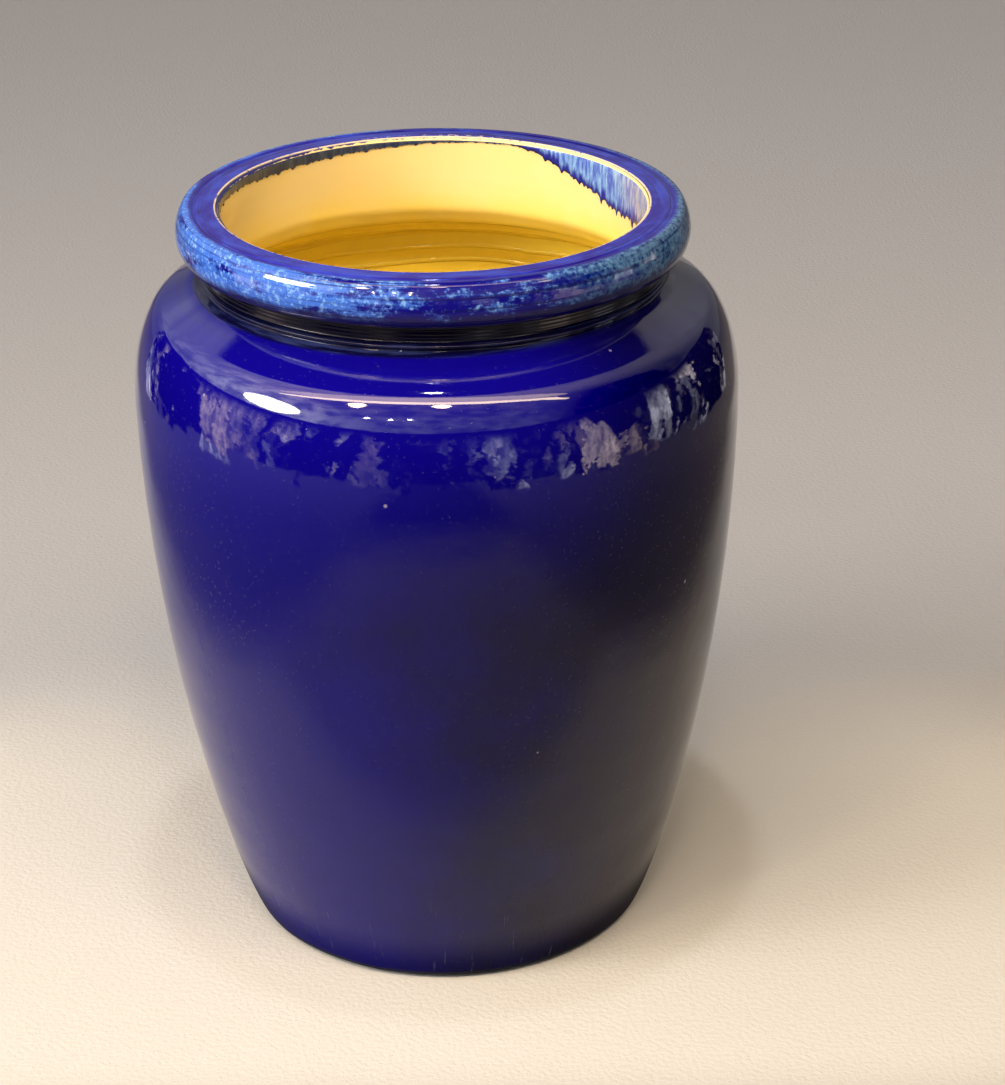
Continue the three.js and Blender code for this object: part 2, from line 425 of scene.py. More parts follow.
def new_tree(name, inputs):
    """A geometry tree with named inputs, and the numbers that come in through them."""
    tree = bpy.data.node_groups.new(name, "GeometryNodeTree")
    for label, kind, value in (("Shape", "NodeSocketGeometry", None), *inputs):
        socket = tree.interface.new_socket(label, in_out="INPUT", socket_type=kind)
        if value is not None:
            socket.default_value = value
    tree.interface.new_socket("Result", in_out="OUTPUT", socket_type="NodeSocketGeometry")
    board = Board(tree)
    entry = board.node("NodeGroupInput").socket.node
    return board, {socket.name: Number(board, socket) for socket in entry.outputs}


def end_tree(board, shape):
    board.node("NodeGroupOutput", None, {"Result": shape})
    return board.tree


def slow_noise(board, vector, seed, detail):
    """A noise about zero, from -1 to 1."""
    settings = {"noise_dimensions": "4D"}
    inputs = {"Vector": vector, "W": seed, "Scale": 1.0, "Detail": detail}
    return (board.node("ShaderNodeTexNoise", settings, inputs) - 0.5) * 2.0


def hand_tree():
    board, given = new_tree("hand", HAND_INPUTS)
    position = board.node("GeometryNodeInputPosition")
    x, y, height = board.split(position)
    radius = (x * x + y * y) ** 0.5
    cosine, sine = x / radius, y / radius

    slow_round = board.vector(cosine * 0.6, sine * 0.6, height * 9.0)
    oval = slow_noise(board, slow_round, given["Seed"], 1.0)
    risen = height.between(*OVAL_ABOVE) * radius.between(*OVAL_OUTSIDE)
    grow = oval * given["Out of round"] * risen
    tipped = (x * given["Side lean"] + y * given["Back lean"]) * height.between(*LEAN_ABOVE)

    edge = slow_noise(board, board.vector(cosine * 4.0, sine * 4.0, 2.0), given["Seed"], 3.0)
    waver = edge * given["Edge waver"] * (1.0 - height.between(*WAVER_BELOW))
    offset = board.vector(grow * cosine, grow * sine, waver - tipped)
    shape = board.node(
        "GeometryNodeSetPosition", None, {"Geometry": given["Shape"], "Offset": offset}
    )
    return end_tree(board, shape)


hand = hand_tree()
print("hand:", len(hand.nodes), "nodes")

# %% [markdown]
# ## The wheel
# A lathe only turns a section round an axis. The wheel tree also leaves the spiral of the potter's
# fingers and the fine lines of the turning tool: it lays a grid round the axis, reads the section
# by index, and pushes each point along the section's own normal by a wave that climbs as it goes
# round. How high and how close the waves are is stored on the section itself.

# %% Wheel
WHEEL_INPUTS = (
    ("Steps around", "NodeSocketInt", 256),
    *HAND_INPUTS,
    ("Material", "NodeSocketMaterial", None),
)
MERGE_WITHIN = 4e-6


def section_value(board, section, name, index):
    """Reads a number stored on the section's points at an index."""
    value = board.node("GeometryNodeInputNamedAttribute", {"data_type": "FLOAT"}, {"Name": name})
    inputs = {"Geometry": section, "Value": value, "Index": index}
    return board.node("GeometryNodeSampleIndex", {"data_type": "FLOAT", "clamp": True}, inputs)


def wheel_tree():
    board, given = new_tree("wheel", WHEEL_INPUTS)
    section = given["Shape"]
    count = board.node("GeometryNodeAttributeDomainSize", None, {"Geometry": section})
    around = given["Steps around"]
    sheet = board.node(
        "GeometryNodeMeshGrid", None, {"Vertices X": around + 1, "Vertices Y": count}
    )
    index = board.node("GeometryNodeInputIndex")
    turn = (index / count).floor()
    angle = turn / around * math.tau
    cosine, sine = angle.cosine(), angle.sine()
    names = ("radius", "height", "ring", "phase", "out_r", "out_z")
    radius, height, ring, phase, out_r, out_z = (
        section_value(board, section, name, index - turn * count) for name in names
    )
    drift = slow_noise(board, board.vector(cosine, sine, phase * 0.37), given["Seed"], 2.0)
    wave = (phase * math.tau + angle + drift * 2.5).sine() + 1.0
    push = ring * wave * (1.0 + drift)
    out = radius + push * out_r
    spun = board.vector(out * cosine, out * sine, height + push * out_z)
    shape = board.node("GeometryNodeSetPosition", None, {"Geometry": sheet, "Position": spun})
    inputs = {"Geometry": shape, "Distance": MERGE_WITHIN}
    shape = board.node("GeometryNodeMergeByDistance", None, inputs)
    errors = {name: given[name] for name, kind, value in HAND_INPUTS}
    shape = board.node("GeometryNodeGroup", {"node_tree": hand}, {"Shape": shape, **errors})
    shape = board.node("GeometryNodeSetShadeSmooth", None, {"Geometry": shape})
    shape = board.node("GeometryNodeRealizeInstances", None, {"Geometry": shape})
    inputs = {"Geometry": shape, "Material": given["Material"]}
    return end_tree(board, board.node("GeometryNodeSetMaterial", None, inputs))


wheel = wheel_tree()
print("wheel:", len(wheel.nodes), "nodes")


# %% Sections as meshes
def outward(points):
    """Unit directions to the right of a line, which point out of the solid that it bounds."""
    run = np.gradient(points, axis=0)
    run /= np.maximum(np.linalg.norm(run, axis=1), 1e-9)[:, None]
    return np.column_stack([run[:, 1], -run[:, 0]])


def section_mesh(name, points, ring, pitch):
    """A line of points in millimetres, with the height and pitch of its rings at each point."""
    mesh = bpy.data.meshes.new(name)
    mesh.vertices.add(len(points))
    normals = outward(points)
    steps = np.linalg.norm(np.diff(points, axis=0, prepend=points[:1]), axis=1)
    columns = {
        "radius": points[:, 0] * MM,
        "height": points[:, 1] * MM,
        "ring": ring * MM,
        "phase": np.cumsum(steps / pitch),
        "out_r": normals[:, 0],
        "out_z": normals[:, 1],
    }
    for key, values in columns.items():
        attribute = mesh.attributes.new(key, "FLOAT", "POINT")
        attribute.data.foreach_set("value", np.asarray(values, np.float32))
    return mesh


def read_table(table, at):
    """Values read from a table of pairs, straight between one pair and the next."""
    return np.interp(at, *np.array(table, float).T)


def report(piece):
    mesh = piece.data
    mesh.calc_loop_triangles()
    corners = np.empty(len(mesh.vertices) * 3)
    mesh.vertices.foreach_get("co", corners)
    corners = corners.reshape(-1, 3)
    index = np.empty(len(mesh.loop_triangles) * 3, int)
    mesh.loop_triangles.foreach_get("vertices", index)
    index = index.reshape(-1, 3)
    a, b, c = (corners[index[:, k]] for k in range(3))
    volume = np.einsum("ij,ij->i", a, np.cross(b, c)).sum() / 6
    edges = np.sort(np.vstack([index[:, [0, 1]], index[:, [1, 2]], index[:, [2, 0]]]), 1)
    open_edges = int((np.unique(edges, axis=0, return_counts=True)[1] != 2).sum())
    print(f"{piece.name}: {len(index)} triangles, {volume * 1e6:.1f} cm3, open edges {open_edges}")
    # A spun piece also has the empty slot that its grid came with.
    for material in filter(None, mesh.materials):
        print(f"  its finish {material.name}: {len(material.node_tree.nodes)} nodes")


def shape_by(tree, name, mesh, values):
    """Runs a mesh through a geometry tree and returns the result as a plain mesh object."""
    piece = bpy.data.objects.new(name, mesh)
    bpy.context.scene.collection.objects.link(piece)
    modifier = piece.modifiers.new(tree.name, "NODES")
    modifier.node_group = tree
    for item in tree.interface.items_tree:
        if item.in_out == "INPUT" and item.name in values:
            modifier[item.identifier] = values[item.name]
    ready = piece.evaluated_get(bpy.context.evaluated_depsgraph_get())
    piece_mesh = bpy.data.meshes.new_from_object(ready)
    piece.modifiers.clear()
    piece.data = piece_mesh
    report(piece)
    return piece


# %% [markdown]
# ## Readings that every finish shares
# The patterns of a thrown pot follow its axis: streaks run round it and colours change with its
# height. So each finish reads the place on the jar from Object coordinates, turned into height,
# radius and a direction round the axis, in millimetres.

# %% Readings
def new_finish(name, color):
    material = bpy.data.materials.new(name)
    material.use_nodes = True
    material.diffuse_color = clear(color)
    return material, Board(material.node_tree), material.node_tree.nodes["Principled BSDF"]


def place_on_jar(board):
    """Where a point lies on the jar: lengths in millimetres, and its direction from the axis."""
    coordinates = board.node("ShaderNodeTexCoord", None, None, "Object")
    inputs = {"Vector": coordinates, "Scale": 1.0 / MM}
    spot = board.node("ShaderNodeVectorMath", {"operation": "SCALE"}, inputs)
    x, y, height = board.split(spot)
    radius = (x * x + y * y) ** 0.5
    return SimpleNamespace(
        spot=spot, x=x, height=height, radius=radius, cosine=x / radius, sine=y / radius
    )


def noise(board, vector, scale, detail=2.0, roughness=0.5):
    inputs = {"Vector": vector, "Scale": scale, "Detail": detail, "Roughness": roughness}
    return board.node("ShaderNodeTexNoise", None, inputs)


def turned_noise(board, place, around, along, detail=3.0, roughness=0.6):
    """A noise that follows the wheel: `around` sets how quick it is round the axis."""
    vector = board.vector(place.cosine * around, place.sine * around, along)
    return noise(board, vector, 1.0, detail, roughness)


def band(number, rising, falling):
    """1 between two slopes and 0 outside them."""
    return number.between(*rising) * (1.0 - number.between(*falling))


def bump(board, height, distance):
    """A bump in which a height of 1 stands for the distance, in metres."""
    inputs = {"Height": height, "Distance": distance, "Strength": 1.0}
    return board.node("ShaderNodeBump", None, inputs)


# %% [markdown]
# ## Clay
# Bare fired stoneware shows only on the foot ring, in the hollow under it and in a thin band where
# the glaze was wiped back. It is warm buff, a little sandy, with small iron specks, so its colour
# mixes a slow cloud of toasting with a sharp threshold of noise for the specks.

# %% Clay finish
FOOT_HOLLOW = 2.6
RING_OUT = 53.2
RING_IN = 45.2
RING_ROUND = 0.6

BUFF = (0.47, 0.37, 0.26)
TOAST = (0.36, 0.25, 0.16)
IRON = (0.07, 0.035, 0.02)
FOOT_EDGE_SHADE = (0.03, 0.025, 0.03)


def clay_finish():
    material, board, shader = new_finish("bare_stoneware", (0.42, 0.31, 0.21))
    place = place_on_jar(board)
    cloud = noise(board, place.spot, 0.06, 3.0)
    grain = noise(board, place.spot, 1.6, 3.0, 0.6)
    specks = noise(board, place.spot, 0.75, 0.0).between(0.69, 0.73)
    shaded_foot_edge = place.radius.between(RING_OUT - RING_ROUND, RING_OUT)
    color = board.blend(cloud, BUFF, TOAST)
    color = board.blend(specks * 0.8, color, IRON)
    # The outer edge of the foot ring is painted dark: a painted contact shadow where it meets the
    # floor.
    color = board.blend(shaded_foot_edge * 0.9, color, FOOT_EDGE_SHADE)
    board.connect(shader.inputs["Base Color"], color)
    board.connect(shader.inputs["Roughness"], 0.78 + grain * 0.15)
    board.connect(shader.inputs["Normal"], bump(board, grain, 0.00012))
    return material


# %% Clay body
HOLLOW_SLOPE = 4.2
CLAY_WALL_STARTS = 1.2
SOFT_CORDON = 0.3
TOOL_LINE = 0.1
TOOL_LINE_PITCH = 2.3


def clay_section():
    """The clay, set back from the glazed faces, with its turned foot."""
    whole = sideways(np.vstack([outside(1, SOFT_CORDON), inside(1)]), GLAZE + COAT_GAP)
    whole[-1, 0] = 0
    whole = whole[whole[:, 1] > CLAY_WALL_STARTS]
    slope = RING_IN - HOLLOW_SLOPE
    ring_side = RING_OUT - RING_ROUND
    under = np.vstack([
        [(0, FOOT_HOLLOW)],
        line((0, FOOT_HOLLOW), (slope, FOOT_HOLLOW), 50),
        bezier((slope, FOOT_HOLLOW), (slope + 2, FOOT_HOLLOW), (RING_IN - 2, 0), (RING_IN, 0), 12),
        line((RING_IN, 0), (ring_side, 0), 20),
        arc((ring_side, RING_ROUND), RING_ROUND, -math.pi / 2, -0.2, 6),
    ])
    # The tool's rings keep off the middle of the hollow and off its turn into the foot.
    ring = np.zeros(len(under) + len(whole))
    ring[3:48] = TOOL_LINE
    return np.vstack([under, whole]), ring, np.full(len(ring), TOOL_LINE_PITCH)


clay_mesh = section_mesh("clay_section", *clay_section())
clay_body = shape_by(
    wheel, "clay_body", clay_mesh, {"Material": clay_finish(), "Steps around": 192}
)

# %% [markdown]
# ## Blue coat
# The jar was dipped in a cobalt glaze that fires to a deep glossy blue. A colour on the clay would
# be simpler, but the coat is a shell of its own, as on the real jar, so it can end in an edge above
# the foot. Its geometry carries the turning lines of the neck and rim, and its finish the colours.

# %% [markdown]
# ## Breaking over the rim
# Over the rolled rim the glaze runs thin and breaks to a lighter, streaky blue. A painted picture
# would need a seam, so the patches are noise that follows the wheel, and height, radius and
# direction decide where they lie.

# %% Rim colours
RIM_DEEP = (0.006, 0.005, 0.22)
RIM_BREAK = (0.05, 0.16, 0.68)
RIM_PALE = (0.2, 0.42, 0.85)
TEAL_DEEP = (0.008, 0.03, 0.14)
TEAL_PALE = (0.09, 0.22, 0.42)
TOP_PURPLE = (0.02, 0.012, 0.28)
TOP_BLUE = (0.03, 0.05, 0.5)
DARK_LINE = (0.006, 0.005, 0.09)
ROLL_UNDERSIDE_DARK_AND_SHADE = (0.003, 0.002, 0.08)

FACE_OUTWARDS = (62.9, 64.2)
FACE_UPWARDS = (193.6, 196.8)


def rim_colors(board, place):
    """Purple on top, light blue patches of broken glaze round the face, more on the left as painted
    light.
    """
    across = place.height - place.radius
    swirl = turned_noise(board, place, 5.0, across * 0.28, 4.0)
    lines = turned_noise(board, place, 0.7, across * 1.3)
    grain = noise(board, place.spot, 0.75, 4.0, 0.65)

    # More pale patches on the left, where the light falls, are painted light.
    left = 1.0 - place.cosine.between(-0.45, 0.1)
    right = (place.cosine + (swirl - 0.5) * 0.9).between(0.35, 0.85)
    patches = (swirl + (grain - 0.5) * 0.4 + left * 0.2).between(0.5, 0.7)
    face = board.blend(patches, RIM_DEEP, RIM_BREAK)
    face = board.blend(grain.between(0.5, 0.68) * patches, face, RIM_PALE)
    teal = board.blend(grain.between(0.34, 0.6), TEAL_DEEP, TEAL_PALE)
    face = board.blend(right * 0.9, face, teal)

    top = board.blend(swirl.between(0.35, 0.65), TOP_PURPLE, TOP_BLUE)
    on_face = (place.radius + (swirl - 0.5) * 3.0).between(*FACE_OUTWARDS)
    color = board.blend(on_face, top, face)
    color = board.blend(lines.between(0.54, 0.64) * 0.7, color, DARK_LINE)
    # The underside of the roll is painted near black: partly darker glaze, partly painted shade
    # under the roll.
    low = 1.0 - (place.height + (swirl - 0.5) * 4.0).between(*FACE_UPWARDS)
    return board.blend(low, color, ROLL_UNDERSIDE_DARK_AND_SHADE)


# %% [markdown]
# ## The deep blue of the wall
# Thick cobalt glaze is nearly black and thin glaze a purer blue, so one slow cloud mixes the two.
# The right side is painted darker still, and the shoulder's purer blue is held back there: painted
# shade for the side away from the light. Near the foot are faint upright scratches, and a few pale
# flecks lie all over. Both are noise kept above a threshold, which costs no geometry.

# %% Body colours
BODY_THIN = (0.002, 0.0008, 0.14)
BODY_THICK_AND_SHADED = (0.0015, 0.001, 0.025)
SHOULDER_BLUE = (0.003, 0.001, 0.21)
SCRATCH = (0.1, 0.09, 0.22)
FLECK = (0.3, 0.28, 0.42)


def body_colors(board, place, cloud):
    """Deep cobalt, near black where heavy and at the right, which is painted shade; purer on the
    shoulder.
    """
    # Near black where the cloud makes the glaze heavy, and towards the right as painted shade.
    thick_and_shaded = (place.cosine * 0.8 + cloud).between(0.0, 1.1)
    color = board.blend(thick_and_shaded, BODY_THIN, BODY_THICK_AND_SHADED)
    # The shoulder's purer blue is kept off the right side: painted shade.
    high = (place.height + cloud * 20.0).between(130.0, 186.0)
    color = board.blend(high * (1.0 - place.cosine.between(0.3, 0.8) * 0.8), color, SHOULDER_BLUE)

    drawn = turned_noise(board, place, 40.0, place.height * 0.05, 3.0, 0.7)
    scratches = drawn.between(0.63, 0.72) * (1.0 - place.height.between(8.0, 40.0))
    color = board.blend(scratches * 0.6, color, SCRATCH)
    inputs = {"Vector": place.spot, "Scale": 0.07}
    nearest = board.node("ShaderNodeTexVoronoi", None, inputs, "Distance")
    flecks = 1.0 - nearest.between(0.025, 0.04)
    return board.blend(flecks * 0.7, color, FLECK)


# %% [markdown]
# ## Neck and lip
# The crease, the neck and the roll's underside are painted dark: partly darker glaze, partly
# painted shade where the roll hides the light, with pale streaks in the crease as painted
# reflection. The thin inner edge of the lip is worn to the pale clay. These could be pieces of
# their own, but they are only changes in one skin, so each is a colour that starts at a height or a
# radius.

# %% Neck and lip colours
CREASE_DARK_AND_SHADE = (0.002, 0.002, 0.03)
CREASE_REFLECTION_STREAK = (0.02, 0.03, 0.12)
NECK_DARK_AND_SHADE = (0.001, 0.001, 0.012)
WORN_CLAY = (0.75, 0.66, 0.5)
CHIPPED_CLAY = (0.8, 0.72, 0.58)

CREASE = (183.3, 184.0)
ABOVE_CORDON = (186.0, 187.2)
ON_TOP = (202.0, 202.4)


def neck_colors(board, place, color):
    """Streaked dark blue in the crease and over the cordon, near black above: glaze and painted
    shade.
    """
    turned = turned_noise(board, place, 3.0, place.height * 2.2)
    # The pale streaks in the crease are painted reflection; its dark is darker glaze and painted
    # shade.
    crease = board.blend(turned.between(0.45, 0.65), CREASE_DARK_AND_SHADE, CREASE_REFLECTION_STREAK)
    color = board.blend(place.height.between(*CREASE), color, crease)
    return board.blend(place.height.between(*ABOVE_CORDON), color, NECK_DARK_AND_SHADE)


def lip_colors(board, place, color):
    """Clay that shows along the worn edge of the lip, and in small chips at its back."""
    on_top = place.height.between(*ON_TOP)
    chips = noise(board, place.spot, 0.9, 2.0, 0.6).between(0.6, 0.66)
    worn = 1.0 - (place.radius + (chips - 0.3) * 0.5).between(56.3, 56.6)
    color = board.blend(worn * on_top, color, WORN_CLAY)
    at_back = place.sine.between(0.9, 0.99) * (1.0 - place.radius.between(57.2, 58.4))
    return board.blend(chips * at_back * on_top, color, CHIPPED_CLAY)


# %% Blue finish
ROLL_STARTS = (191.0, 192.5)
NECK = ((184.0, 187.0), (196.5, 198.5))
GLOSSY_SHOULDER = ((140.0, 172.0), (182.0, 184.0))
GLOSSY_CROWN = ((198.0, 199.5), (201.9, 202.8))


def blue_finish():
    material, board, shader = new_finish("cobalt_glaze", (0.006, 0.004, 0.2))
    place = place_on_jar(board)
    cloud = noise(board, place.spot, 0.035, 4.0, 0.6)
    color = neck_colors(board, place, body_colors(board, place, cloud))
    color = board.blend(place.height.between(*ROLL_STARTS), color, rim_colors(board, place))
    board.connect(shader.inputs["Base Color"], lip_colors(board, place, color))

    in_neck = band(place.height, *NECK)
    board.connect(shader.inputs["Roughness"], 0.03 + cloud * 0.04 + in_neck * 0.12)
    gloss = band(place.height, *GLOSSY_SHOULDER) + band(place.height, *GLOSSY_CROWN) * 0.6
    board.connect(shader.inputs["Coat Weight"], gloss)
    shader.inputs["IOR"].default_value = 1.45
    shader.inputs["Specular IOR Level"].default_value = 0.4

    skin = noise(board, place.spot, 0.16, 2.0) * 0.6 + noise(board, place.spot, 0.045, 2.0)
    pits = noise(board, place.spot, 1.1, 0.0).between(0.755, 0.79)
    board.connect(shader.inputs["Normal"], bump(board, skin - pits * 0.35, 0.00009))
    return material


# %% Blue coat
COAT_FOOT = 1.4
FACE_STEP = 0.3
BACK_STEP = 0.1
COAT_RINGS = (
    (0, 0), (6, 0), (20, 0.03), (176, 0.03), (184, 0),
    (186.9, 0.02), (190, 0.02), (193, 0.012), (203, 0.008),
)
COAT_PITCHES = ((0, 13), (183.5, 13), (184.3, 0.9), (192, 0.9), (193, 1.1))


def coat_section():
    """The coat's face up to the lip and its back down again, closed at the foot."""
    face = outside(4)
    low = face[:40]
    foot = (np.interp(COAT_FOOT, low[:, 1], low[:, 0]), COAT_FOOT)
    face = np.vstack([foot, face[face[:, 1] > COAT_FOOT + FACE_STEP]])
    back = sideways(outside(1, SOFT_CORDON), GLAZE)
    back = back[back[:, 1] > COAT_FOOT + BACK_STEP][::-1]
    points = np.vstack([face, back, face[:1]])
    ring = read_table(COAT_RINGS, face[:, 1])
    pitch = read_table(COAT_PITCHES, face[:, 1])
    # The last points lie in the round of the lip, where the other glaze meets them.
    ring[-6:] = 0
    rest = np.zeros(len(points) - len(face))
    return points, np.concatenate([ring, rest]), np.concatenate([pitch, rest + 1])


coat_mesh = section_mesh("coat_section", *coat_section())
blue_coat = shape_by(
    wheel, "blue_coat", coat_mesh, {"Material": blue_finish(), "Edge waver": 0.25 * MM}
)

# %% [markdown]
# ## Cream lining
# The inside was rinsed with a cream glaze. Light bounces from wall to wall in there, which deepens
# the colour further down. Below the throat the finish is painted a deeper honey as well: partly
# glaze that pools where it lies heavy, partly painted shade of the deep inside. The potter's finger
# rings could be a bump, but they are wide enough to bend what the glaze mirrors, so they are in the
# lining's geometry.

# %% Cream finish
CREAM_DEEP = (0.91, 0.74, 0.28)
CREAM_PALE = (0.92, 0.78, 0.41)
HONEY = (0.96, 0.76, 0.08)
LIP_BLUE = (0.03, 0.03, 0.2)


def cream_finish():
    material, board, shader = new_finish("poured_cream", (0.82, 0.68, 0.3))
    place = place_on_jar(board)
    cloud = noise(board, place.spot, 0.05, 4.0, 0.6)
    fine = noise(board, place.spot, 0.6, 3.0)
    crept = noise(board, place.spot, 0.5, 3.0, 0.6)
    # Honey below the throat: partly pooled glaze, partly painted shade of the deep inside.
    pooled_and_shaded = 1.0 - (place.height + cloud * 8.0).between(178.0, 197.0)
    lip_edge = (place.height + (crept - 0.5) * 1.6).between(202.55, 202.75)
    color = board.blend(cloud, CREAM_DEEP, CREAM_PALE)
    color = board.blend(pooled_and_shaded, color, HONEY)
    color = board.blend(lip_edge, color, LIP_BLUE)
    board.connect(shader.inputs["Base Color"], color)
    board.connect(shader.inputs["Roughness"], 0.04 + fine * 0.05)
    shader.inputs["IOR"].default_value = 1.5

    turns = (place.height * 1.25 + noise(board, place.spot, 0.03, 1.0) * 4.0).sine()
    ridges = turns.between(0.6, 1.0) * (1.0 - place.height.between(168.0, 178.0))
    surface = bump(board, ridges * 3.0 + cloud + fine * 0.1, 0.00012)
    board.connect(shader.inputs["Normal"], surface)
    return material


# %% Cream lining
LINING_RINGS = ((12, 0.2), (30, 0.6), (170, 0.6), (180, 0.2), (184, 0.04), (198, 0.04), (201, 0))
LINING_PITCHES = ((12, 7), (30, 9), (176, 9), (184, 4))
CALM_MIDDLE = ((0, 0), (3, 0), (8, 1))


def lining_section():
    """The lining's face from the lip to the middle of the floor, and its back up again."""
    face = inside(2)
    back = sideways(inside(1), GLAZE)
    back[-1, 0] = 0
    points = np.vstack([face, back[::-1], face[:1]])
    ring = read_table(LINING_RINGS, face[:, 1]) * read_table(CALM_MIDDLE, face[:, 0])
    pitch = read_table(LINING_PITCHES, face[:, 1])
    rest = np.zeros(len(points) - len(face))
    return points, np.concatenate([ring, rest]), np.concatenate([pitch, rest + 1])


lining_mesh = section_mesh("lining_section", *lining_section())
cream_lining = shape_by(wheel, "cream_lining", lining_mesh, {"Material": cream_finish()})

# %% [markdown]
# ## The run inside the mouth
# Where the dipped blue crept over the lip it ran down the cream as a thin film: a short ragged band
# all round, and one deep lobe on the right. Its lower edge follows no wheel, so this piece is made
# in mesh code from an edge line round the mouth, then given the same errors of the hand.

# %% Edge of the run
RUN_TOP = 202.3
RUN_STEPS = 1200
RUN_EDGE = (
    (-40, 3.0), (-10, 6.0), (8, 11.0), (18, 13.0), (30, 12.6), (37, 10.1), (46, 8.0), (53, 5.6),
    (60, 2.6), (68, 1.2), (80, 1.2), (93, 1.8), (103, 2.4), (115, 3.0), (128, 3.6), (142, 3.9),
    (155, 3.3), (165, 3.2), (178, 2.8), (200, 3.4), (240, 2.8), (280, 3.2),
)


def ragged(angle, count, seed):
    """A sum of waves that never quite repeat, about zero, for the drips of an edge."""
    total = np.zeros_like(angle)
    for wave in range(count):
        turns = int(7 * 1.55**wave)
        total += np.sin(turns * angle + seed * (wave + 1) * 1.7) / 1.35**wave
    return total / count


def spikes(angle, turns, phase):
    """Narrow drips side by side, each one a peak of a wave raised to a high power."""
    return np.maximum(np.sin(turns * angle + phase + 2.0 * np.sin(9 * angle + phase)), 0) ** 5


def run_depth(angle):
    """How far below the rim's top the run reaches, in millimetres, at angles round the mouth."""
    places, depths = np.array(RUN_EDGE, float).T
    smooth = np.interp(np.degrees(angle), places, depths, period=360)
    drips = ragged(angle, 8, 2.0) * 0.8
    drips += spikes(angle, 83, 0.4) * 0.7 + spikes(angle, 127, 2.0) * 0.5
    drips += spikes(angle, 47, 4.1) * 0.6
    return np.maximum(smooth + (drips - 0.4) * (0.25 + 0.1 * smooth), 0.5)


run_angles = np.arange(RUN_STEPS) / RUN_STEPS * math.tau
run_depths = run_depth(run_angles)
print(f"run: {run_depths.min():.1f} to {run_depths.max():.1f} mm below the rim's top")


# %% Run mesh
RUN_FILM = 0.25
RUN_SEAT = 0.15
FILM_SHARES = (0, 0.04, 0.1, 0.2, 0.35, 0.5, 0.65, 0.78, 0.88, 0.95, 0.985, 1)
FILM_HEIGHTS = (0, 0.55, 0.8, 0.9, 0.95, 1, 1, 1.05, 1.15, 1.1, 0.75, 0)


def run_mesh():
    depth = JAR_HEIGHT - RUN_TOP - run_depths
    shares = np.array(FILM_SHARES + FILM_SHARES[::-1][1:-1])
    film = np.array([h * RUN_FILM for h in FILM_HEIGHTS] + [-RUN_SEAT] * (len(FILM_SHARES) - 2))
    down = np.outer(-depth, shares)
    radius = MOUTH_RADIUS - np.broadcast_to(film, down.shape)
    corners = np.stack([
        radius * np.cos(run_angles)[:, None],
        radius * np.sin(run_angles)[:, None],
        RUN_TOP - down,
    ], axis=2).reshape(-1, 3) * MM
    count = len(shares)
    here = np.arange(RUN_STEPS)[:, None] * count + np.arange(count)
    there = np.roll(here, -1, axis=0)
    quads = np.stack([here, there, np.roll(there, -1, 1), np.roll(here, -1, 1)], 2).reshape(-1, 4)
    mesh = bpy.data.meshes.new("mouth_run")
    mesh.from_pydata(corners.tolist(), [], quads.tolist())
    above_edge = mesh.attributes.new("above_edge", "FLOAT", "POINT")
    left = (-depth[:, None] * (1 - shares)).reshape(-1)
    above_edge.data.foreach_set("value", left.astype(np.float32))
    return mesh


# %% Run finish
RUN_BLUE = (0.06, 0.12, 0.6)
RUN_LIGHT = (0.24, 0.5, 0.84)
RUN_PALE = (0.38, 0.58, 0.84)
RUN_GREY = (0.36, 0.35, 0.46)
RUN_DEEP = (0.012, 0.02, 0.3)
RUN_NAVY = (0.012, 0.014, 0.09)
BAND_BLACK = (0.015, 0.03, 0.09)
BAND_GREY = (0.06, 0.09, 0.14)


def run_finish():
    material, board, shader = new_finish("run_of_blue", (0.12, 0.25, 0.5))
    place = place_on_jar(board)
    above = board.node("ShaderNodeAttribute", {"attribute_name": "above_edge"}, None, "Fac")
    streaks = turned_noise(board, place, 60.0, place.height * 0.2, 4.0, 0.65)
    broad = turned_noise(board, place, 14.0, place.height * 0.12)
    mixed = streaks * 0.6 + broad * 0.4

    lit = (mixed + (above - 6.0) * 0.012).between(0.52, 0.66)
    grey_end = place.cosine.between(0.86, 0.99) * broad.between(0.3, 0.6)
    deep = 1.0 - (above + (mixed - 0.5) * 7.0).between(1.0, 3.6)
    navy = 1.0 - (above + (mixed - 0.5) * 2.0).between(0.3, 0.9)
    flow = board.blend(mixed.between(0.4, 0.62), RUN_BLUE, RUN_LIGHT)
    flow = board.blend(lit * 0.5, flow, RUN_PALE)
    flow = board.blend(grey_end * 0.7, flow, RUN_GREY)
    flow = board.blend(deep, flow, RUN_DEEP)
    flow = board.blend(navy, flow, RUN_NAVY)

    thin_band = board.blend(mixed.between(0.4, 0.65), BAND_BLACK, BAND_GREY)
    color = board.blend(place.x.between(4.0, 20.0), thin_band, flow)
    board.connect(shader.inputs["Base Color"], color)
    board.connect(shader.inputs["Roughness"], 0.08 + streaks * 0.1)
    board.connect(shader.inputs["Normal"], bump(board, mixed, 0.00008))
    return material


# %% Mouth run
run_shape = run_mesh()
run_shape.materials.append(run_finish())
mouth_run = shape_by(hand, "mouth_run", run_shape, {})
mouth_run.data.polygons.foreach_set("use_smooth", [True] * len(mouth_run.data.polygons))

# %% [markdown]
# ## Joining the frame
# The turned pieces stand in for the four plain solids: same places, same sizes, finer surfaces.

# %% Join
PIECES = (
    (clay_body, "stoneware_body", "clay"),
    (blue_coat, "blue_glaze_coat", "blue_glaze"),
    (cream_lining, "cream_glaze_lining", "cream_glaze"),
    (mouth_run, "blue_mouth_run", "run_glaze"),
)
for piece, node, slot in PIECES:
    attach(piece, "root")
    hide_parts(node)
    print(f"{piece.name} stands in for {node}")

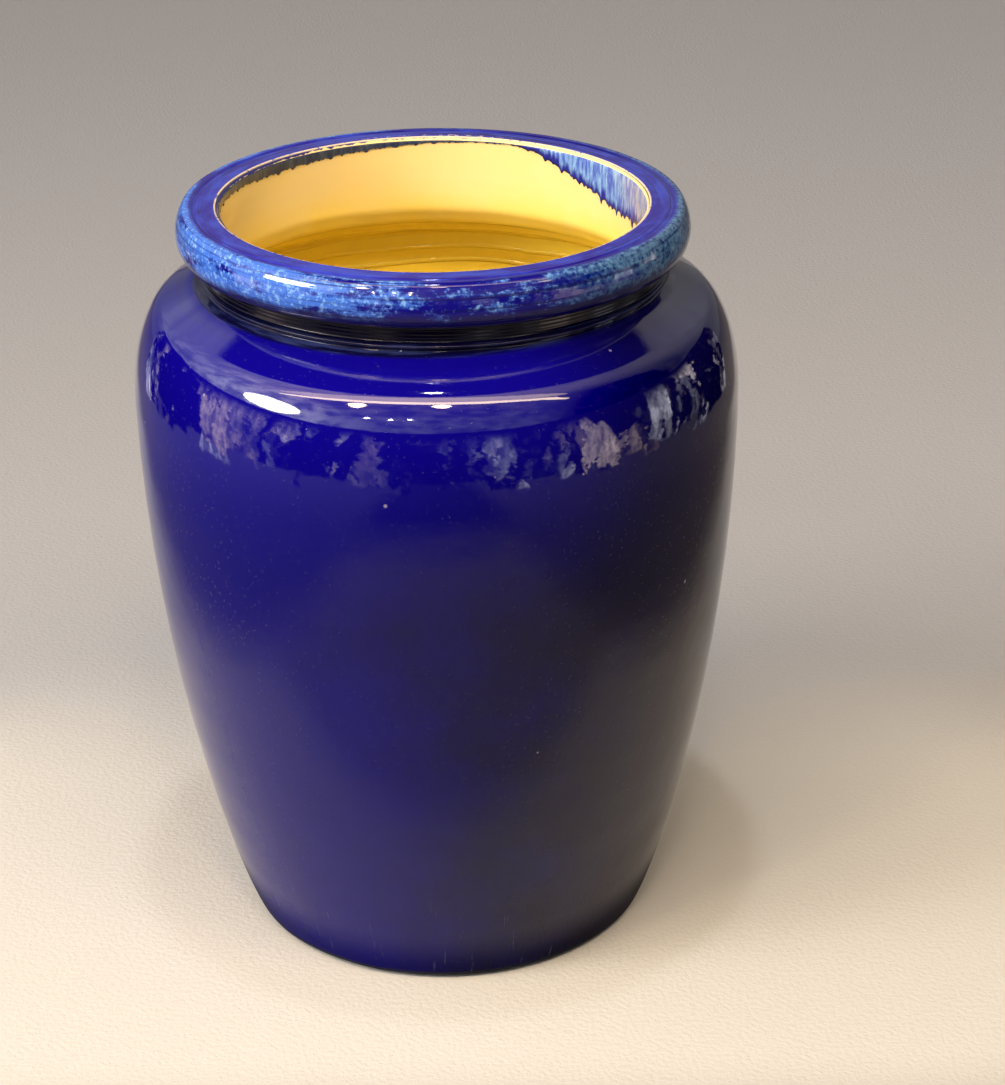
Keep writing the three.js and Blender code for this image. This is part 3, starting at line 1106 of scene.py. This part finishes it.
# %% [markdown]
# ## Floor
# The jar stands on a plain pale floor that falls off to grey a little way out. A dark glossy glaze
# shows mostly what it mirrors, so the floor outside the picture, and a painted contact shadow in a
# ring round the foot, are dark for every ray but the camera's own. That keeps the front
# of the jar deep.

# %% Floor
FLOOR_HALF = 2.5
PALE_FLOOR = (0.58, 0.6, 0.6)
GREY_FLOOR = (0.34, 0.34, 0.34)
BACK_FLOOR = (0.4, 0.43, 0.48)
SIDE_FLOOR = (0.15, 0.15, 0.16)
DARK_FLOOR = (0.03, 0.03, 0.03)


def floor_finish():
    material, board, shader = new_finish("studio_floor", (0.68, 0.69, 0.68))
    coordinates = board.node("ShaderNodeTexCoord", None, None, "Object")
    x, y = board.split(coordinates)[:2]
    out = (x * x + y * y) ** 0.5
    aside = (x * x) ** 0.5 - y * 0.16
    unseen = 1.0 - board.node("ShaderNodeLightPath", None, None, "Is Camera Ray")

    near = (1.0 - out.between(0.16, 0.25)) * y.between(-0.14, -0.09)
    color = board.blend(near, GREY_FLOOR, PALE_FLOOR)
    color = board.blend(out.between(0.3, 0.4) * unseen, color, DARK_FLOOR)
    color = board.blend(y.between(0.05, 0.15), color, BACK_FLOOR)
    # A painted contact shadow round the foot, seen only in what the glaze mirrors.
    foot_contact_shadow = (1.0 - out.between(0.057, 0.07)) * unseen
    color = board.blend(foot_contact_shadow * 0.9, color, DARK_FLOOR)
    color = board.blend(aside.between(0.175, 0.26) * unseen, color, SIDE_FLOOR)
    board.connect(shader.inputs["Base Color"], color)
    shader.inputs["Roughness"].default_value = 0.9
    shader.inputs["Specular IOR Level"].default_value = 0.2
    weave = noise(board, coordinates, 700.0, 2.0)
    board.connect(shader.inputs["Normal"], bump(board, weave, 0.0003))
    return material


def stage_piece(name, corners, faces, material):
    mesh = bpy.data.meshes.new(name)
    mesh.from_pydata(corners, [], faces)
    mesh.materials.append(material)
    piece = bpy.data.objects.new(name, mesh)
    bpy.context.scene.collection.objects.link(piece)
    print(f"{name}: {len(faces)} faces, {len(material.node_tree.nodes)} nodes in its finish")
    return piece


floor_signs = ((-1, -1), (1, -1), (1, 1), (-1, 1))
floor_corners = [(across * FLOOR_HALF, back * FLOOR_HALF, 0) for across, back in floor_signs]
stage_piece("floor", floor_corners, [(0, 1, 2, 3)], floor_finish())

# %% [markdown]
# ## Lamps
# Warm light comes from high in front: a narrow strip, which the shoulder mirrors as a thin bright
# line, and a wider and weaker panel behind it. A softbox stands low at the left, a small lamp hangs
# over the jar, and spots and points give the glaze its sparks. Lamps could be moved about by eye,
# but each one is placed by the direction in which the jar sees it, because that decides where on
# the round wall it is mirrored.

# %% Lamps
LIGHT_AIM = Vector((0, 0, 0.15))
WARM = (1.0, 0.74, 0.48)
NEUTRAL = (1.0, 0.95, 0.91)


def toward(azimuth, elevation, distance):
    """A place seen from the jar, its azimuth measured from straight in front to the right."""
    across, up = math.radians(azimuth), math.radians(elevation)
    flat = math.cos(up) * distance
    return LIGHT_AIM + Vector((
        flat * math.sin(across), -flat * math.cos(across), math.sin(up) * distance
    ))


def soft_light(name, place, size, brightness, color):
    """A flat lamp aimed at the jar, whose brightness stays the same whatever its size."""
    data = bpy.data.lights.new(name, "AREA")
    data.shape = "ELLIPSE"
    data.size, data.size_y = size
    data.energy = brightness * math.pi * size[0] * size[1]
    data.color = color
    lamp = bpy.data.objects.new(name, data)
    lamp.location = place
    lamp.rotation_euler = (LIGHT_AIM - place).to_track_quat("-Z", "Y").to_euler()
    lamp.visible_camera = False
    bpy.context.scene.collection.objects.link(lamp)
    print(f"{name}: {data.energy:.2f} W")


LAMPS = (
    ("key", toward(-64, 22, 1.0), (0.42, 0.19), 18.0, NEUTRAL),
    ("strip", toward(-5, 56, 0.9), (1.9, 0.09), 11.0, WARM),
    ("panel", toward(-5, 64, 0.9), (1.7, 0.20), 3.0, WARM),
    ("top_lamp", Vector((0.0, -0.12, 1.4)), (0.08, 0.08), 125.0, NEUTRAL),
    ("left_spot", toward(-33, 43, 0.9), (0.09, 0.12), 35.0, WARM),
    ("right_spot", toward(4, 48, 0.9), (0.09, 0.12), 35.0, WARM),
    ("point_25", toward(-25, 28, 0.9), (0.02, 0.02), 120.0, NEUTRAL),
    ("point_16", toward(-16, 28, 0.9), (0.02, 0.02), 120.0, NEUTRAL),
    ("point_9", toward(-9, 29, 0.9), (0.02, 0.02), 120.0, NEUTRAL),
)
for lamp in LAMPS:
    soft_light(*lamp)

# %% [markdown]
# ## Screen
# A glossy wall with nothing to mirror looks like plastic. Plain cards would give it hard squares,
# so a low screen bends round the front of the jar and glows in uneven patches with a ragged lower
# edge. Cells of two sizes give the patches and noise gives their folds. The camera doesn't see the
# screen and only mirrored rays meet it, so it lights nothing.

# %% Screen
SCREEN_RADIUS = 0.45
SCREEN_HEIGHT = 0.28
SCREEN_ARC = 130
SCREEN_STEPS = 104
COOL_PATCH = (0.9, 0.88, 1.0)
WARM_PATCH = (1.0, 0.75, 0.6)
BLACK = (0.0, 0.0, 0.0)


def cell_numbers(board, spot, scale):
    """Three random numbers for each cell of a broken pattern."""
    inputs = {"Vector": spot, "Scale": scale}
    cells = board.node("ShaderNodeTexVoronoi", {"distance": "CHEBYCHEV"}, inputs, "Color")
    return board.split(cells)


def screen_finish():
    material, board, shader = new_finish("screen", (0.3, 0.3, 0.3))
    coordinates = board.node("ShaderNodeTexCoord", None, None, "Object")
    x, y, z = board.split(coordinates)
    drift = noise(board, coordinates, 24.0, 4.0, 0.6)
    spot = board.vector(x * 12.0 + drift, y * 12.0 - drift * 0.7, z * 5.0 + drift * 0.8)
    lit, warm, hanging = cell_numbers(board, spot, 1.0)
    part = cell_numbers(board, spot, 3.4)[0]
    folds = noise(board, board.vector(x * 60.0, y * 60.0, z * 20.0), 1.0, 4.0, 0.7)
    stretch = noise(board, coordinates, 5.0, 1.0).between(0.35, 0.6)

    glow = (lit * 0.75 + part * 0.35).between(0.45, 1.05)
    glow = glow * (0.3 + folds.between(0.35, 0.65) * 0.7)
    glow = glow * (0.3 + 0.7 * stretch) * (1.0 - z.between(0.2, 0.27))
    color = board.blend(warm.between(0.4, 0.8), COOL_PATCH, WARM_PATCH)
    board.connect(shader.inputs["Emission Color"], board.blend(glow, BLACK, color))
    hem = (z - hanging * 0.045 - drift * 0.03).between(0.0, 0.008)
    board.connect(shader.inputs["Alpha"], hem)
    shader.inputs["Emission Strength"].default_value = 5.0
    shader.inputs["Base Color"].default_value = clear(BLACK)
    shader.inputs["Specular IOR Level"].default_value = 0.0
    return material


screen_corners = []
for azimuth in np.radians(np.linspace(-SCREEN_ARC, SCREEN_ARC, SCREEN_STEPS + 1)):
    x, y = SCREEN_RADIUS * math.sin(azimuth), -SCREEN_RADIUS * math.cos(azimuth)
    screen_corners += [(x, y, MM), (x, y, SCREEN_HEIGHT)]
screen_faces = [(k, k + 1, k + 3, k + 2) for k in range(0, 2 * SCREEN_STEPS, 2)]
screen = stage_piece("screen", screen_corners, screen_faces, screen_finish())
screen.visible_camera = False
screen.visible_diffuse = False
screen.visible_shadow = False

# %% [markdown]
# ## Studio
# The world is the rest of the studio. It could be a picture of a room, but a brightness worked out
# for each direction is enough: a glow high in front that fades to the back, a halo and, inside it,
# a dark flag behind the top. The shoulder mirrors that flag as a dark crescent under the neck. The
# camera itself sees an even grey.

# %% Studio
PALE_LIGHT = (1.0, 0.97, 0.96)
PEACH_LIGHT = (1.0, 0.73, 0.52)
FLAG_EDGE = 1.53
FLAG_DARKNESS = 0.01
SEEN_GREY = 0.35


def studio_world():
    world = bpy.data.worlds.new("studio")
    world.use_nodes = True
    board = Board(world.node_tree)
    direction = board.node("ShaderNodeTexCoord", None, None, "Generated")
    x, y, z = board.split(direction)
    uneven = noise(board, direction, 7.0, 4.0, 0.6).between(0.35, 0.65)
    behind = y.between(-0.35, 0.25)
    side = (x * x).between(0.1, 0.6)

    fade = 1.0 - y.between(-0.3, 0.55) * 0.8
    glow = z.between(0.08, 0.32) * fade * (0.42 - x * 0.25 + side * (0.5 - x))
    glow = glow * (0.4 + uneven * 1.4)
    from_flag = FLAG_EDGE - y * 0.7 - z * 1.75
    halo = (1.0 - from_flag.between(0.0, 0.7)) * (1.2 - x * 0.3)
    halo = halo * (1.0 - behind * (0.9 - side * 0.3))
    outside_flag = FLAG_DARKNESS + (1.0 - FLAG_DARKNESS) * from_flag.between(-0.02, 0.02)
    strength = (0.05 + behind * 0.1 + glow + halo) * outside_flag
    seen = board.node("ShaderNodeLightPath", None, None, "Is Camera Ray")
    strength = strength * (1.0 - seen) + seen * SEEN_GREY

    warmth = z.between(0.3, 0.9) * (1.0 - behind * 0.5)
    background = world.node_tree.nodes["Background"]
    board.connect(background.inputs["Color"], board.blend(warmth, PALE_LIGHT, PEACH_LIGHT))
    board.connect(background.inputs["Strength"], strength)
    print("studio:", len(world.node_tree.nodes), "nodes")
    return world


bpy.context.scene.world = studio_world()
bpy.context.scene.view_settings.view_transform = "Standard"
